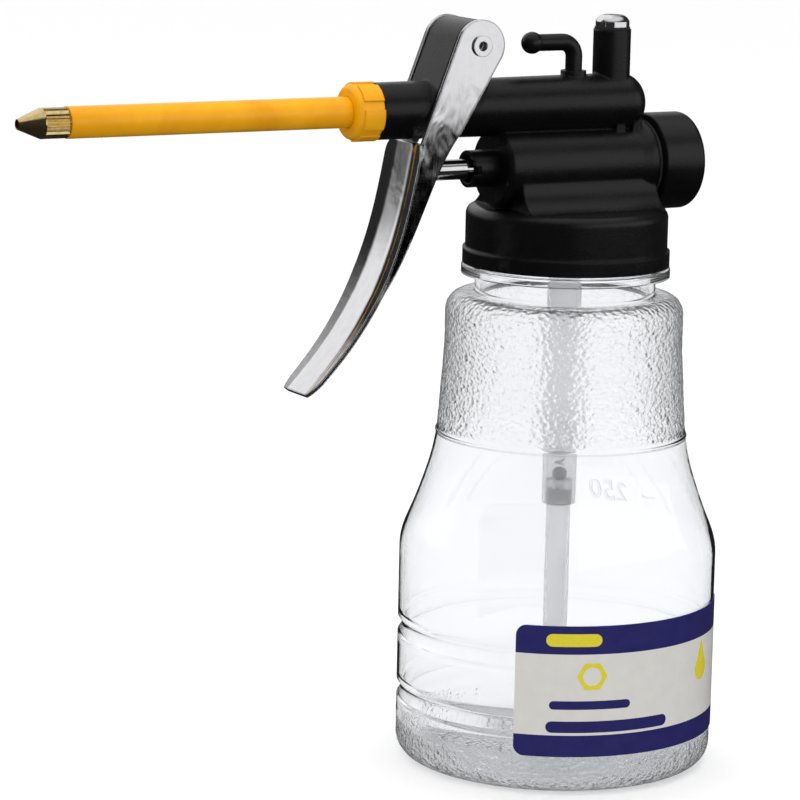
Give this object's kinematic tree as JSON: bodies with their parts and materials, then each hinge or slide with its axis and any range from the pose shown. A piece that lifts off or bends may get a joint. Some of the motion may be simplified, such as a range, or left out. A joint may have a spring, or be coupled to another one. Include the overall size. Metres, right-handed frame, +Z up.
{
  "type": "trigger oiler",
  "caption": "Hand-held trigger oiler: clear bottle with a black screw-on pump head, bright hand lever, plunger, shut-off handle and a long straight nozzle with a turned brass tip.",
  "frame": {"origin": "centre of the bottle's underside, on the face it stands on", "axes": "+Z up along the bottle's axis; -X along the nozzle towards its tip; +Y completes the right-handed frame; all but the label is symmetric about Y = 0"},
  "size_m": [0.1768, 0.0752, 0.1768],
  "materials": {
    "clear": "clear, polished, stippled on the upper part",
    "label": "printed film",
    "black": "satin moulding",
    "seal": "matt",
    "yellow": "satin moulding",
    "tip_brass": "turned and polished",
    "chrome": "bright plated",
    "steel": "drawn wire and ground balls",
    "white": "moulded",
    "tubing": "milky, translucent"
  },
  "bodies": {
    "bottle_body": {"bottle": "clear", "bottle_label": "label"},
    "gasket": {"neck_gasket": "seal"},
    "head": {"pump_head": "black", "rod_gland": "black", "rod_wiper": "seal", "rear_cap_ring": "seal", "screw_washer": "seal", "nozzle_gasket": "seal", "pivot_pin": "chrome", "valve_tube": "tubing", "foot_valve_seat": "tubing", "spring_stop": "tubing", "suction_tube": "tubing", "return_spring": "steel", "outlet_spring": "steel", "foot_spring": "steel"},
    "lever": {"lever": "chrome"},
    "plunger": {"plunger_rod": "chrome", "piston": "white", "piston_ring": "seal", "piston_nut": "steel"},
    "rear_cap": {"rear_cap": "black"},
    "valve_screw": {"valve_screw": "chrome"},
    "shutoff": {"shutoff_handle": "black", "shutoff_ring": "seal"},
    "collar": {"nozzle_collar": "yellow"},
    "nozzle": {"nozzle_tube": "yellow"},
    "tip": {"brass_tip": "tip_brass"},
    "foot_ball": {"foot_ball": "steel"},
    "outlet_ball": {"outlet_ball": "steel"}
  },
  "joints": [
    {"name": "head_lift", "type": "slide", "parent": "bottle_body", "child": "gasket", "axis": [0, 0, 1], "range_m": [0, 0.13]},
    {"name": "head_turn", "type": "hinge", "parent": "gasket", "child": "head", "pos_m": [0, 0, 0.12], "axis": [0, 0, 1], "continuous": true},
    {"name": "lever_pivot", "type": "hinge", "parent": "head", "child": "lever", "pos_m": [-0.0289, 0, 0.1708], "axis": [0, -1, 0], "range_deg": [0, 20], "stiffness_Nm_per_rad": 1, "springref_deg": -5.73},
    {"name": "plunger_slide", "type": "slide", "parent": "head", "child": "plunger", "axis": [1, 0, 0], "range_m": [0, 0.0106], "deforming": ["return_spring"]},
    {"name": "rear_cap_turn", "type": "hinge", "parent": "head", "child": "rear_cap", "pos_m": [0.026, 0, 0.1418], "axis": [1, 0, 0], "continuous": true},
    {"name": "valve_screw_turn", "type": "hinge", "parent": "head", "child": "valve_screw", "pos_m": [0.0109, 0, 0.17], "axis": [0, 0, 1], "continuous": true},
    {"name": "shutoff_turn", "type": "hinge", "parent": "head", "child": "shutoff", "pos_m": [0.0006, 0, 0.16], "axis": [0, 0, 1], "range_deg": [-90, 90]},
    {"name": "collar_turn", "type": "hinge", "parent": "head", "child": "collar", "pos_m": [-0.0557, 0, 0.1559], "axis": [-1, 0, 0], "continuous": true},
    {"name": "nozzle_turn", "type": "hinge", "parent": "head", "child": "nozzle", "pos_m": [-0.09, 0, 0.1559], "axis": [-1, 0, 0], "continuous": true},
    {"name": "tip_turn", "type": "hinge", "parent": "nozzle", "child": "tip", "pos_m": [-0.13, 0, 0.1559], "axis": [-1, 0, 0], "continuous": true},
    {"name": "foot_ball_lift", "type": "slide", "parent": "head", "child": "foot_ball", "axis": [0, 0, 1], "range_m": [0, 0.0016], "stiffness_N_per_m": 8, "springref_m": -0.0005, "deforming": ["foot_spring"]},
    {"name": "outlet_ball_lift", "type": "slide", "parent": "head", "child": "outlet_ball", "axis": [0, 0, 1], "range_m": [0, 0.0015], "stiffness_N_per_m": 20, "springref_m": -0.0005, "deforming": ["outlet_spring"]}
  ],
  "couplings": [
    {"joint": "plunger_slide", "follows": "lever_pivot", "m_per_rad": 0.0296}
  ]
}
